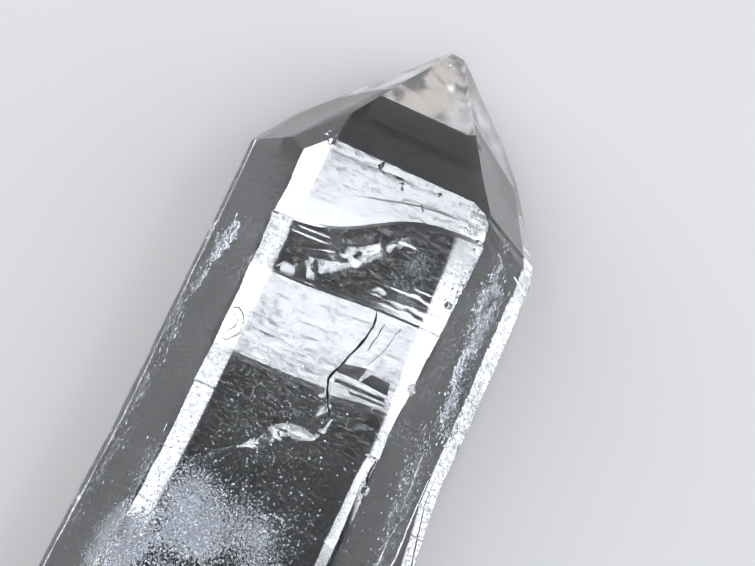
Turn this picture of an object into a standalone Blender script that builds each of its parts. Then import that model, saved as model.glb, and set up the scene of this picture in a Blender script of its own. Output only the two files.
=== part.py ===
"""A lemurian seed quartz crystal, lying on one of its prism faces.

One natural piece of clear quartz: a six-sided prism with a six-faced point, growth ledges across
its faces, a broken root end, and the chips and small corner facets of a worn crystal.

The crystal is worked out in its own frame and then laid down: "depth" is the distance below the
tip along the long axis, and each prism face stands at a distance from that axis, at an angle
measured about it from the upper face. On the table the tip points along +Y and the upper face
looks up (+Z).
"""

import math
import random

import bmesh
import bpy
import numpy as np
from mathutils import Vector

MM = 0.001

# Where the long axis and the tip stand, so that the origin is under the middle of the crystal.
AXIS_X = -1.51 * MM
TIP_Y = 58.72 * MM
AXIS_Z = 12.3 * MM

# Prism: angle of each face about the axis, and its distance from the axis.
UPPER, RIGHT, LOWER_RIGHT, UNDER, LOWER_LEFT, LEFT = range(6)
FACE_ANGLE = (0.0, 60.0, 124.8, 180.0, 242.7, 300.0)
FACE_DISTANCE = (18.32 * MM, 19.81 * MM, 15.72 * MM, 12.3 * MM, 14.46 * MM, 19.09 * MM)
FACE_SPANS = (14, 8, 7, 9, 7, 8)
LENGTH = 112.0 * MM
TOP_DEPTH = -3.0 * MM
SHOULDER_DEPTH = 24.0 * MM

# Point: every face leans 51.79 degrees from the long axis, as on all quartz. The second value is
# how far each one stands off the tip.
POINT_LEAN = 51.79
POINT_FACES = (
    (0.0, 0.0),
    (60.0, 0.80 * MM),
    (120.0, 5.40 * MM),
    (180.0, 0.0),
    (240.0, 0.68 * MM),
    (300.0, 0.0),
)
# Small facets that cut the corners of the upper face: angle, lean and distance from the tip.
CORNER_FACETS = ((18.9, 53.5, 2.64 * MM), (-42.8, 57.0, 3.53 * MM))
TIP_BLUNTING = 0.45 * MM

# Growth ledges of the upper face: depth of each ledge, the height just above it and just below it.
LEDGE_RUN = 0.3 * MM
UPPER_LEDGES = (
    (31.0 * MM, 0.0, -0.50 * MM),
    (40.6 * MM, 0.24 * MM, 0.08 * MM),
    (51.1 * MM, 0.08 * MM, 0.02 * MM),
    (56.5 * MM, -0.21 * MM, 0.04 * MM),
    (66.0 * MM, -0.02 * MM, -0.22 * MM),
    (75.2 * MM, -0.10 * MM, 0.12 * MM),
    (84.4 * MM, 0.02 * MM, -0.25 * MM),
    (93.0 * MM, -0.20 * MM, 0.10 * MM),
    (101.5 * MM, 0.10 * MM, -0.20 * MM),
)
# The first ledge runs aslant in an S across the upper face, and the next ones less and less.
LEDGE_SLANT = (
    (24.6 * MM, 0.0),
    (31.0 * MM, 3.5 * MM),
    (40.6 * MM, 0.55 * MM),
    (51.1 * MM, 0.8 * MM),
    (60.0 * MM, 0.0),
)
SLANT_REACH = 5.5 * MM

# Slow swells of the side faces, as (depth, height) in millimetres: the right side bulges under the
# shoulder and the root end flares.
SWELLS = {
    RIGHT: ((24.3, 0.0), (25.6, 0.5), (30.0, 0.75), (37.0, 0.7), (46.0, 0.3), (54.0, -0.2), (61.0, 0.0)),
    LOWER_RIGHT: ((24.0, 0.0), (40.0, 0.3), (48.0, 0.7), (57.0, 0.8), (67.0, 2.6), (76.0, 3.2), (105.0, 2.8)),
    LOWER_LEFT: ((24.0, 0.0), (60.0, 0.25), (85.0, 0.9), (105.0, 0.7)),
    LEFT: ((24.0, 0.0), (66.0, 0.0), (79.0, 0.65), (96.0, 1.1), (105.0, 0.9)),
}
# Ladder of smaller ledges on those faces: seed, mean distance between ledges and tallest step.
LADDERS = {
    RIGHT: (11, 6.1 * MM, 0.10 * MM),
    LOWER_RIGHT: (23, 5.2 * MM, 0.12 * MM),
    LOWER_LEFT: (31, 5.6 * MM, 0.12 * MM),
    LEFT: (47, 6.4 * MM, 0.09 * MM),
}
LADDER_RUN = 0.2 * MM
# The underside keeps its plane, so that the crystal lies flat, and has shallow bands sunk into it.
UNDER_BANDS = ((27.0 * MM, 31.5 * MM), (45.0 * MM, 47.6 * MM), (66.5 * MM, 71.0 * MM), (90.0 * MM, 93.5 * MM))
UNDER_BAND_DEPTH = 0.25 * MM

# Broken root end: rings from the rim to its middle, slope across it and the size of its shells.
ROOT_RINGS = 10
ROOT_SLOPE = 0.12
ROOT_LEAN = 0.10
ROOT_HOLLOW = 4.5 * MM
ROOT_RIPPLE = 0.7 * MM
ROOT_LUMP = 1.3 * MM

# Chips: depth along the axis, angle about it, distance from it, and the radii of the bite across,
# along and into the face, in millimetres but for the angle.
CHIPS = (
    (23.6, -24.5, 20.9, (1.3, 0.7, 0.9)),
    (23.3, 4.0, 18.9, (1.0, 0.55, 0.7)),
    (28.6, 33.4, 22.6, (1.5, 1.4, 0.9)),
    (24.4, 81.6, 22.0, (0.9, 1.2, 0.8)),
    (50.0, 82.5, 22.2, (1.2, 2.6, 0.8)),
    (37.2, -74.2, 20.5, (0.9, 1.9, 0.7)),
    (66.0, -74.8, 20.6, (1.0, 2.2, 0.8)),
    (72.0, 33.8, 22.1, (1.0, 1.6, 0.7)),
)


def clear_scene():
    """Removes every object that the file opened with."""
    for thing in list(bpy.data.objects):
        bpy.data.objects.remove(thing, do_unlink=True)


def quartz():
    """Clear rock crystal."""
    material = bpy.data.materials.new("clear_quartz")
    material.use_nodes = True
    shader = material.node_tree.nodes["Principled BSDF"]
    shader.inputs["Base Color"].default_value = (0.93, 0.94, 0.95, 1.0)
    shader.inputs["Roughness"].default_value = 0.05
    shader.inputs["Metallic"].default_value = 0.0
    shader.inputs["IOR"].default_value = 1.544
    shader.inputs["Transmission Weight"].default_value = 1.0
    return material


def polyline(points, depth):
    """Height at a depth on a line through (depth, height) points."""
    depths, heights = zip(*points)
    return np.interp(depth, depths, heights)


def upper_profile():
    """The upper face's heights: flat terraces between the ledges, each tilted a little."""
    points = [(TOP_DEPTH, 0.0)]
    for depth, above, below in UPPER_LEDGES:
        points += [(depth, above), (depth + LEDGE_RUN, below)]
    return points + [(LENGTH * 2, points[-1][1])]


def ladder_profile(seed, pitch, step):
    """Small ledges in and out, at uneven distances, from the shoulder to the root."""
    chance = random.Random(seed)
    depth = SHOULDER_DEPTH + 0.6 * pitch
    height = 0.0
    points = [(TOP_DEPTH, 0.0)]
    while depth < LENGTH - pitch:
        lower = -step * chance.uniform(0.35, 1.0) if height > -0.4 * step else 0.0
        points += [(depth, height), (depth + LADDER_RUN, lower)]
        height = lower * chance.uniform(0.2, 1.0)
        depth += pitch * chance.uniform(0.55, 1.6)
    return points + [(LENGTH * 2, points[-1][1])]


def under_profile():
    """The underside's heights: level, with a few bands sunk into it."""
    points = [(TOP_DEPTH, 0.0)]
    for start, end in UNDER_BANDS:
        points += [(start, 0.0), (start + LEDGE_RUN, -UNDER_BAND_DEPTH)]
        points += [(end, -UNDER_BAND_DEPTH), (end + LEDGE_RUN, 0.0)]
    return points + [(LENGTH * 2, 0.0)]


def face_profiles():
    """One list of (depth, height) for each prism face."""
    profiles = {UPPER: upper_profile(), UNDER: under_profile()}
    for face, settings in LADDERS.items():
        profiles[face] = ladder_profile(*settings)
    return [profiles[face] for face in range(6)]


def face_heights(face, profile, depth):
    """How far the face stands out from its first plane at each depth."""
    swell = SWELLS.get(face, ((0.0, 0.0),))
    return polyline(profile, depth) + MM * polyline(swell, depth / MM)


def ring_depths(profiles):
    """Every depth where some face has a corner, and enough between them for the swells."""
    depths = {point[0] for profile in profiles for point in profile if point[0] < LENGTH}
    depths |= {SHOULDER_DEPTH * share for share in (0.4, 0.7, 0.95)}
    for swell in SWELLS.values():
        depths |= {depth * MM for depth, _ in swell}
    ordered = sorted(depths)
    kept = ordered[:1]
    for depth in ordered[1:]:
        if depth - kept[-1] > 0.2 * MM:
            kept.append(depth)
    return np.array(kept)


def outward(angle):
    """Unit vector across the long axis, at an angle about it from the upper face."""
    return np.array([math.sin(math.radians(angle)), math.cos(math.radians(angle))])


def column_rings(profiles):
    """Points of the prism as an array of rings: x across, height over the axis, and depth."""
    depths = ring_depths(profiles)
    distance = [FACE_DISTANCE[face] + face_heights(face, profiles[face], depths) for face in range(6)]
    corners = []
    for face in range(6):
        before = (face - 1) % 6
        walls = np.array([outward(FACE_ANGLE[before]), outward(FACE_ANGLE[face])])
        corners.append(np.linalg.solve(walls, np.array([distance[before], distance[face]])))
    slant = polyline(LEDGE_SLANT, depths)
    rings = []
    for face in range(6):
        start, end = corners[face], corners[(face + 1) % 6]
        for step in range(FACE_SPANS[face]):
            along = step / FACE_SPANS[face]
            across = start + (end - start) * along
            hold = {UPPER: 1.0, RIGHT: 1.0 - along, LEFT: along}.get(face, 0.0)
            bend = hold * slant * np.tanh(across[0] / SLANT_REACH)
            rings.append(np.stack([across[0], across[1], depths - bend], axis=1))
    return np.stack(rings, axis=1)


def root_surface(x, height, rim):
    """Depth of the broken root: a slope, a hollow and the shell-like ripples of a quartz break."""
    reach = np.clip(1.0 - rim, 0.0, 1.0)
    from_corner = np.hypot(x + 14 * MM, height - 9 * MM)
    ripples = ROOT_RIPPLE * np.sin(from_corner / (1.35 * MM)) * (0.35 + 0.65 * rim)
    lumps = ROOT_LUMP * np.sin(x / (4.3 * MM) + 1.1) * np.cos(height / (3.7 * MM) - 0.4)
    spurs = 0.5 * ROOT_LUMP * np.sin(x / (1.9 * MM)) * np.sin(height / (2.3 * MM) + 0.7)
    return ROOT_SLOPE * x - ROOT_LEAN * height - ROOT_HOLLOW * reach**1.6 + ripples + lumps + spurs


def build_column(profiles):
    """The closed prism, from above the tip down to the broken root, in the lying frame."""
    rings = column_rings(profiles)
    rim = rings[-1]
    x, height = rim[:, 0], rim[:, 1]
    end = np.stack([x, height, LENGTH + root_surface(x, height, np.ones(len(rim)))], axis=1)
    end[:, 2] = np.maximum(end[:, 2], rim[:, 2] + 0.6 * MM)
    middle = end.mean(axis=0)
    layers = [*rings, end]
    for step in range(1, ROOT_RINGS):
        share = 1.0 - step / ROOT_RINGS
        inner = middle + (end - middle) * share
        shape = root_surface(inner[:, 0], inner[:, 1], np.full(len(rim), share))
        inner[:, 2] = LENGTH + shape
        layers.append(inner)
    work = bmesh.new()
    rows = [[work.verts.new(lying(point)) for point in layer] for layer in layers]
    count = len(rim)
    for upper, lower in zip(rows, rows[1:]):
        for i in range(count):
            work.faces.new((upper[i], upper[(i + 1) % count], lower[(i + 1) % count], lower[i]))
    heart = np.array([middle[0], middle[1], LENGTH + root_surface(middle[0], middle[1], 0.0)])
    centre = work.verts.new(lying(heart))
    for i in range(count):
        work.faces.new((rows[-1][i], rows[-1][(i + 1) % count], centre))
    work.faces.new(list(reversed(rows[0])))
    bmesh.ops.recalc_face_normals(work, faces=work.faces)
    return work


def lying(point):
    """From across, height over the axis and depth to a place on the table."""
    across, height, depth = (float(value) for value in point)
    return Vector((AXIS_X + across, TIP_Y - depth, AXIS_Z + height))


def cut_plane(work, angle, lean, off_tip):
    """Cuts off what lies beyond a plane that leans from the long axis, and closes the cut."""
    across = outward(angle) * math.sin(math.radians(lean))
    normal = Vector((across[0], math.cos(math.radians(lean)), across[1]))
    tip = lying((0.0, 0.0, 0.0))
    everything = [*work.verts, *work.edges, *work.faces]
    cut = bmesh.ops.bisect_plane(
        work,
        geom=everything,
        dist=1e-7,
        plane_co=tip + normal * off_tip,
        plane_no=normal,
        clear_outer=True,
    )
    rim = [item for item in cut["geom_cut"] if isinstance(item, bmesh.types.BMEdge)]
    bmesh.ops.holes_fill(work, edges=rim, sides=0)


def cut_point(work):
    """The six faces of the point, the corner facets and the blunted tip."""
    for angle, off_tip in POINT_FACES:
        cut_plane(work, angle, POINT_LEAN, off_tip)
    for angle, lean, off_tip in CORNER_FACETS:
        cut_plane(work, angle, lean, off_tip)
    cut_plane(work, 35.0, 12.0, -TIP_BLUNTING)


def add_chip(body, index, depth, angle, distance, radii):
    """A shell-shaped bite out of an edge: a squashed ball, turned with the edge, cut from the body."""
    way = outward(angle) * distance * MM
    bpy.ops.mesh.primitive_ico_sphere_add(subdivisions=2, radius=MM)
    cutter = bpy.context.object
    cutter.name = f"chip_{index}"
    chance = random.Random(index)
    for vertex in cutter.data.vertices:
        vertex.co *= chance.uniform(0.86, 1.12)
    cutter.scale = (radii[0], radii[1], radii[2])
    cutter.rotation_euler = (chance.uniform(-0.5, 0.5), math.radians(angle), chance.uniform(-0.5, 0.5))
    cutter.location = lying((way[0], way[1], depth * MM))
    cutter.hide_render = True
    cutter.display_type = "WIRE"
    bite = body.modifiers.new(cutter.name, "BOOLEAN")
    bite.operation = "DIFFERENCE"
    bite.solver = "EXACT"
    bite.object = cutter


def make_crystal():
    """The whole crystal as one object."""
    work = build_column(face_profiles())
    cut_point(work)
    bmesh.ops.triangulate(work, faces=work.faces)
    bmesh.ops.recalc_face_normals(work, faces=work.faces)
    mesh = bpy.data.meshes.new("quartz_crystal")
    work.to_mesh(mesh)
    work.free()
    body = bpy.data.objects.new("quartz_crystal", mesh)
    bpy.context.scene.collection.objects.link(body)
    mesh.materials.append(quartz())
    for index, chip in enumerate(CHIPS):
        add_chip(body, index, *chip)
    return body


clear_scene()
make_crystal()
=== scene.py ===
"""Looks of the lemurian seed quartz crystal: its fine surface, the fractures inside it, and the studio.

All sizes are in millimetres in the crystal's own frame, and are turned to metres when a mesh is written.
"Depth" is the distance below the tip along the long axis; a face's "height" is how far it stands out
from the plane it started as. The crystal lies on its underside with its tip towards +Y.
"""

import logging
import math
import random
from dataclasses import dataclass, field
from enum import IntEnum
from typing import Any

import bmesh
import bpy
import numpy as np
from mathutils import Matrix, Vector


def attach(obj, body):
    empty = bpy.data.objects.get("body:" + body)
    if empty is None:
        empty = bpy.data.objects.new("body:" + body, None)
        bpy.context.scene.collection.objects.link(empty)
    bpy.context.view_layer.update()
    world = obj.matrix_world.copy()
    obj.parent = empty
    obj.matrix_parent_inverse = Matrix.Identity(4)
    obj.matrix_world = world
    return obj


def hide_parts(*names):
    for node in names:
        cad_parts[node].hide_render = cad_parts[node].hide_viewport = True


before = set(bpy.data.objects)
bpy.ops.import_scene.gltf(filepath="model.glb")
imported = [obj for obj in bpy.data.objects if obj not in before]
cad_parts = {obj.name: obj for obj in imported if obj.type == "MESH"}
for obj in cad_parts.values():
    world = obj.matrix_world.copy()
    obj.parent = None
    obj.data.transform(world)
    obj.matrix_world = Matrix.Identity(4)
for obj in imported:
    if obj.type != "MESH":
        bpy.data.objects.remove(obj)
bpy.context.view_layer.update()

LOG = logging.getLogger("crystal")
MM = 0.001
NODE = "quartz_crystal"
NOISE_VALUES = 4096
NOISE_PRIMES = (73856093, 19349663, 83492791)
NOISE_REACH = 1.5

Array = np.ndarray
Shape = tuple[Array, list[list[int]]]
Pair = tuple[float, float]
Triple = tuple[float, float, float]
Line = tuple[Pair, ...]
Path = tuple[Triple, ...]


class Face(IntEnum):
    """The six prism faces, in turn about the long axis."""

    UPPER = 0
    RIGHT = 1
    LOWER_RIGHT = 2
    UNDER = 3
    LOWER_LEFT = 4
    LEFT = 5


def linear(hex_colour: str) -> tuple[float, ...]:
    """Turns an sRGB hex colour into the linear colour that shaders take.

    Args:
        hex_colour: Six hex digits, such as "E8E4DC".

    Returns:
        Linear red, green and blue, with an alpha of 1.
    """
    parts = [int(hex_colour[i : i + 2], 16) / 255 for i in (0, 2, 4)]
    red, green, blue = (c / 12.92 if c <= 0.04045 else ((c + 0.055) / 1.055) ** 2.4 for c in parts)
    return (red, green, blue, 1.0)


def add_node(
    tree: bpy.types.NodeTree, kind: str, settings: dict[str, Any] | None = None, **links: Any
) -> bpy.types.Node:
    """Adds one node with its settings, its socket values and its links.

    Args:
        tree: The node tree that takes the node.
        kind: The node's type name.
        settings: Attributes of the node, such as its operation.
        **links: Input sockets by name, with "_" for a space and "i0", "i1" for the first and second. Each
            value is another node's output socket or a plain value.

    Returns:
        The new node.
    """
    node = tree.nodes.new(kind)
    for name, value in (settings or {}).items():
        setattr(node, name, value)
    for name, value in links.items():
        key = int(name[1:]) if name[0] == "i" and name[1:].isdigit() else name.replace("_", " ")
        if isinstance(value, bpy.types.NodeSocket):
            tree.links.new(value, node.inputs[key])
        else:
            node.inputs[key].default_value = value
    return node


def value_noise(points: Array, size: float, seed: int) -> Array:
    """Smooth random values in space: a random number at each lattice corner, blended between the corners.

    Args:
        points: Places, with the last axis of length 3.
        size: Distance between lattice corners.
        seed: Chooses the numbers.

    Returns:
        Values from -1 to 1, one for each place.
    """
    table = np.random.default_rng(seed).uniform(-1.0, 1.0, NOISE_VALUES)
    scaled = np.asarray(points) / size
    base = np.floor(scaled)
    blend = scaled - base
    blend = blend * blend * (3.0 - 2.0 * blend)
    base = base.astype(np.int64)
    total = np.zeros(scaled.shape[:-1])
    for corner in range(8):
        step = np.array([corner & 1, corner >> 1 & 1, corner >> 2 & 1])
        place = base + step
        mixed = place * np.array(NOISE_PRIMES)
        index = (mixed[..., 0] ^ mixed[..., 1] ^ mixed[..., 2]) % NOISE_VALUES
        share = np.where(step == 1, blend, 1.0 - blend).prod(axis=-1)
        total += share * table[index]
    return total


def rough_noise(points: Array, size: float, seed: int, octaves: int = 3) -> Array:
    """Value noise summed at halving sizes and strengths.

    Args:
        points: Places, with the last axis of length 3.
        size: Size of the largest lumps.
        seed: Chooses the numbers.
        octaves: How many sizes are summed.

    Returns:
        Values of about -1 to 1.
    """
    total = np.zeros(np.asarray(points).shape[:-1])
    for octave in range(octaves):
        total += value_noise(points, size / 2**octave, seed + octave) / 2**octave
    return total / NOISE_REACH


def grid_faces(rows: int, columns: int, closed: bool) -> Array:
    """Quads of a grid of points stored row by row.

    Args:
        rows: Number of rows.
        columns: Number of points in a row.
        closed: Whether each row joins its own start.

    Returns:
        One row of four point numbers for each quad.
    """
    index = np.arange(rows * columns).reshape(rows, columns)
    after = np.roll(index, -1, axis=1)
    stop = columns if closed else columns - 1
    quads = np.stack([index[:-1], after[:-1], after[1:], index[1:]], axis=-1)[:, :stop]
    return quads.reshape(-1, 4)


def on_line(corners: Line, place: Array) -> Array:
    """Height at each place of a broken line that is given by its corners, as (place, height)."""
    return np.interp(place, *zip(*corners))


def new_piece(name: str, points: Array, faces: list[list[int]]) -> bpy.types.Object:
    """Puts points and faces into a mesh object at the origin.

    Args:
        name: The piece's name.
        points: Places in metres, in the model's frame.
        faces: Point numbers of each face.

    Returns:
        The linked object.
    """
    mesh = bpy.data.meshes.new(name)
    mesh.from_pydata(points.tolist(), [], faces)
    mesh.update()
    piece = bpy.data.objects.new(name, mesh)
    bpy.context.scene.collection.objects.link(piece)
    return piece


def closed_mesh(name: str, points: Array, faces: list[list[int]], hollow: bool = False) -> bpy.types.Mesh:
    """Makes a mesh of a closed shape, with its faces turned outwards.

    Args:
        name: The mesh's name.
        points: Places in metres, in the model's frame.
        faces: Point numbers of each face.
        hollow: Whether the faces turn inwards instead.

    Returns:
        The mesh.
    """
    mesh = bpy.data.meshes.new(name)
    mesh.from_pydata(points.tolist(), [], faces)
    work = bmesh.new()
    work.from_mesh(mesh)
    bmesh.ops.recalc_face_normals(work, faces=work.faces)
    if hollow:
        bmesh.ops.reverse_faces(work, faces=work.faces)
    work.to_mesh(mesh)
    work.free()
    return mesh


def take_in(work: bmesh.types.BMesh, mesh: bpy.types.Mesh) -> None:
    """Adds a mesh to the one being made, and removes it."""
    work.from_mesh(mesh)
    bpy.data.meshes.remove(mesh)


@dataclass(frozen=True)
class Placement:
    """Where the crystal lies: the long axis and the tip in the model's frame."""

    axis_x: float = -1.51
    tip_y: float = 58.72
    axis_z: float = 12.3

    def lay(self, points: Array) -> Array:
        """Turns across, height over the axis and depth into metres on the table.

        Args:
            points: Places in the crystal's frame, with the last axis of length 3.

        Returns:
            Places in metres in the model's frame.
        """
        across, height, depth = np.moveaxis(np.asarray(points, float), -1, 0)
        return np.stack([self.axis_x + across, self.tip_y - depth, self.axis_z + height], axis=-1) * MM

    def unlay(self, places: Array) -> Array:
        """The reverse of lay.

        Args:
            places: Places in metres in the model's frame.

        Returns:
            Across, height over the axis and depth, in millimetres.
        """
        x, y, z = np.moveaxis(np.asarray(places, float) / MM, -1, 0)
        return np.stack([x - self.axis_x, z - self.axis_z, self.tip_y - y], axis=-1)


@dataclass(frozen=True)
class PrismFace:
    """One prism face: its plane, how finely it is drawn, its slow swell and its growth ledges.

    The swell is a broken line of (depth, height). The ladder is a seed, the mean distance between ledges
    and the tallest one. The fine ledges are short, low and many.
    """

    angle: float
    distance: float
    spans: int
    swell: Line = ((0.0, 0.0),)
    ladder: tuple[int, float, float] | None = None
    fine_seed: int = 0
    fine_count: int = 60
    fine_height: float = 0.012

    def outward(self) -> Array:
        """Unit vector out of the face, as across and height."""
        turn = math.radians(self.angle)
        return np.array([math.sin(turn), math.cos(turn)])


RIGHT_SWELL = (
    (24.3, 0.0),
    (25.6, 0.5),
    (30.0, 0.75),
    (37.0, 0.7),
    (46.0, 0.3),
    (54.0, -0.2),
    (61.0, 0.0),
)
LOWER_RIGHT_SWELL = (
    (24.0, 0.0),
    (40.0, 0.3),
    (48.0, 0.7),
    (57.0, 0.8),
    (67.0, 2.6),
    (76.0, 3.2),
    (105.0, 2.8),
)


@dataclass(frozen=True)
class Frost:
    """How much each part of the skin scatters light, from 0 for glass-smooth to 1, and how far it reaches."""

    sides: float = 0.03
    lower_sides: float = 0.02
    under: float = 0.40
    point: float = 0.03
    root: float = 0.30
    upper: Line = (
        (30.8, 0.14),
        (31.4, 0.04),
        (40.3, 0.04),
        (40.9, 0.14),
        (51.8, 0.14),
        (52.4, 0.03),
        (60.0, 0.05),
    )
    face_reach: float = 0.9
    under_reach: float = 0.4
    inner_gap: float = 0.95
    inner_from_root: float = 8.0
    point_reach: float = 1.5
    root_reach: float = 4.5


@dataclass
class CrystalSurface:
    """The crystal's skin: ledged prism, six-faced point, worn edges, chips and broken root.

    Rings are (from, to, step) in depth. Point faces are (turn, distance), and corner facets are (turn,
    lean, distance). Upper ledges are (depth, height above, height below), and the slant, the border step
    and the dark bands are broken lines over depth. Under bands are (from, to).
    """

    placement: Placement = field(default_factory=Placement)
    length: float = 112.0
    top_depth: float = -3.0
    shoulder: float = 24.0
    ring_spans: Path = (
        (23.0, 31.3, 0.28),
        (31.3, 40.6, 0.13),
        (40.6, 51.5, 0.20),
        (51.5, 86.0, 0.42),
        (86.0, 110.0, 0.80),
    )
    cut_tolerance: float = 1e-7
    point_ring_step: float = 2.5
    least_ring_gap: float = 0.08
    ledge_run: float = 0.3
    ladder_run: float = 0.2
    ladder_start: float = 0.6
    ladder_turn: float = 0.4
    ladder_sink: Pair = (0.35, 1.0)
    ladder_rise: Pair = (0.2, 1.0)
    ladder_pitch: Pair = (0.55, 1.6)
    point_lean: float = 51.79
    point_faces: Line = (
        (0.0, 0.0),
        (60.0, 0.80),
        (120.0, 5.40),
        (180.0, 0.0),
        (240.0, 0.68),
        (300.0, 0.0),
    )
    corner_facets: Path = ((18.9, 53.5, 2.64), (-42.8, 57.0, 3.53))
    tip_facet: Pair = (35.0, 12.0)
    tip_blunting: float = 0.45
    edge_wear: float = 0.16
    edge_wear_change: float = 0.8
    edge_wear_size: float = 2.2
    edge_wear_seed: int = 71
    edge_apart: float = 17.3
    edge_calm: float = 18.0
    edge_bevel: float = 0.3
    point_wear: float = 0.025
    upper_ledges: Path = (
        (31.0, 0.0, -0.50),
        (40.6, 0.24, 0.08),
        (51.9, 0.08, 0.02),
        (56.5, -0.174, 0.04),
        (66.0, -0.02, -0.05),
        (75.2, -0.02, 0.02),
        (84.4, 0.02, -0.05),
        (93.0, -0.06, 0.02),
        (101.5, 0.02, -0.08),
    )
    ledge_slant: Line = (
        (24.6, 0.0),
        (31.0, 3.5),
        (40.6, 0.55),
        (51.9, 0.35),
        (60.0, 0.0),
    )
    slant_reach: float = 5.5
    border_step: Line = ((47.8, 0.0), (51.9, -0.75), (56.5, 0.0))
    border_step_start: float = 3.0
    border_step_reach: float = 5.0
    border_step_run: float = 0.45
    line_seed: int = 300
    line_size: float = 0.30
    line_height: float = 0.020
    line_share_at_sides: float = 0.4
    line_squeeze: Pair = (0.045, 1.3)
    line_fade: Triple = (0.75, 14.0, 0.15)
    dash_squeeze: Pair = (0.20, 1.2)
    dash_floor: float = 0.62
    dash_depth: float = 0.030
    wave_size: float = 3.1
    wave_height: float = 0.015
    ripple_size: float = 1.5
    ripple_squeeze: float = 0.6
    ripple_height: float = 0.006
    upper_ripple_height: float = 0.012
    lower_side_calm: float = 0.10
    relief_start: float = 4.0
    dark_bands: Line = (
        (31.2, 0.0),
        (31.6, 1.0),
        (34.0, 0.9),
        (36.0, 0.22),
        (40.2, 0.16),
        (40.6, 0.0),
        (52.1, 0.0),
        (52.5, 0.06),
    )
    fine_reach: Pair = (0.12, 0.6)
    fine_strength: Pair = (0.3, 1.0)
    fine_run: float = 0.1
    fine_fade: float = 6.0
    fine_edge: float = 14.0
    under_bands: Line = ((27.0, 31.5), (45.0, 47.6), (66.5, 71.0), (90.0, 93.5))
    under_band_depth: float = 0.04
    sharp_angle: float = 16.0
    root_rings: int = 44
    root_slope: float = 0.12
    root_lean: float = 0.10
    root_hollow: float = 4.5
    root_ripple: float = 0.7
    root_ripple_run: float = 1.35
    root_corner: Pair = (-14.0, 9.0)
    root_lump: float = 1.3
    root_lump_runs: Pair = (4.3, 3.7)
    root_spur_runs: Pair = (1.9, 2.3)
    root_grain: float = 0.35
    root_ripple_least: float = 0.35
    root_fine_least: float = 0.15
    root_fine_gain: float = 6.0
    root_grain_size: float = 2.6
    root_grain_seed: int = 91
    root_hollow_power: float = 1.6
    root_least: float = 0.5
    frost: Frost = field(default_factory=Frost)
    faces: tuple[PrismFace, ...] = (
        PrismFace(0.0, 18.32, 48, fine_seed=5, fine_count=160, fine_height=0.006),
        PrismFace(60.0, 19.81, 24, swell=RIGHT_SWELL, ladder=(11, 6.1, 0.10), fine_seed=6),
        PrismFace(124.8, 15.72, 18, swell=LOWER_RIGHT_SWELL, ladder=(23, 5.2, 0.05), fine_seed=7),
        PrismFace(180.0, 12.3, 14, fine_seed=8, fine_height=0.0),
        PrismFace(
            242.7,
            14.46,
            18,
            swell=((24.0, 0.0), (60.0, 0.25), (85.0, 0.9), (105.0, 0.7)),
            ladder=(31, 5.6, 0.05),
            fine_seed=9,
        ),
        PrismFace(
            300.0,
            19.09,
            24,
            swell=((24.0, 0.0), (66.0, 0.0), (79.0, 0.65), (96.0, 1.1), (105.0, 0.9)),
            ladder=(47, 6.4, 0.09),
            fine_seed=10,
        ),
    )

    def profile(self, face: int) -> tuple[Array, Array]:
        """The broken line of a face's ledges, as depths and heights.

        The upper face has its own ledges, the underside has bands sunk into it, and the others have a
        ladder of small steps in and out at uneven distances.

        Args:
            face: The face's number.

        Returns:
            Depths, and the height at each.
        """
        points = [(self.top_depth, 0.0)]
        spec = self.faces[face]
        if face == Face.UPPER:
            for depth, above, below in self.upper_ledges:
                points += [(depth, above), (depth + self.ledge_run, below)]
        elif face == Face.UNDER:
            for start, end in self.under_bands:
                low = -self.under_band_depth
                points += [(start, 0.0), (start + self.ledge_run, low)]
                points += [(end, low), (end + self.ledge_run, 0.0)]
        else:
            points += self.ladder_points(*spec.ladder)
        points.append((self.length * 2, points[-1][1]))
        return tuple(np.array(points).T)

    def ladder_points(self, seed: int, pitch: float, step: float) -> list[tuple[float, float]]:
        """Small ledges from the shoulder to the root, each sunk by a share of the step and rising again.

        Args:
            seed: Chooses their places.
            pitch: Mean distance between ledges.
            step: Tallest ledge.

        Returns:
            Corners of the broken line as (depth, height).
        """
        chance = random.Random(seed)
        depth = self.shoulder + self.ladder_start * pitch
        height = 0.0
        points = []
        while depth < self.length - pitch:
            lower = -step * chance.uniform(*self.ladder_sink) if height > -self.ladder_turn * step else 0.0
            points += [(depth, height), (depth + self.ladder_run, lower)]
            height = lower * chance.uniform(*self.ladder_rise)
            depth += pitch * chance.uniform(*self.ladder_pitch)
        return points

    def ring_depths(self) -> Array:
        """Depths of the rings: every ledge corner, and even steps between them that keep off the corners.

        Returns:
            The depths in rising order.
        """
        corners = {float(d) for face in range(6) for d in self.profile(face)[0] if d < self.length}
        corners |= {d for spec in self.faces for d, _ in spec.swell if d > 0}
        coarse = set(np.arange(1.0, self.shoulder - 1.0, self.point_ring_step))
        fine = {float(depth) for start, end, step in self.ring_spans for depth in np.arange(start, end, step)}
        ordered = np.array(sorted(corners | coarse | fine))
        near = np.abs(ordered[:, None] - np.array(sorted(corners))).min(axis=1)
        return ordered[(near == 0.0) | (near > self.least_ring_gap)]

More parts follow.
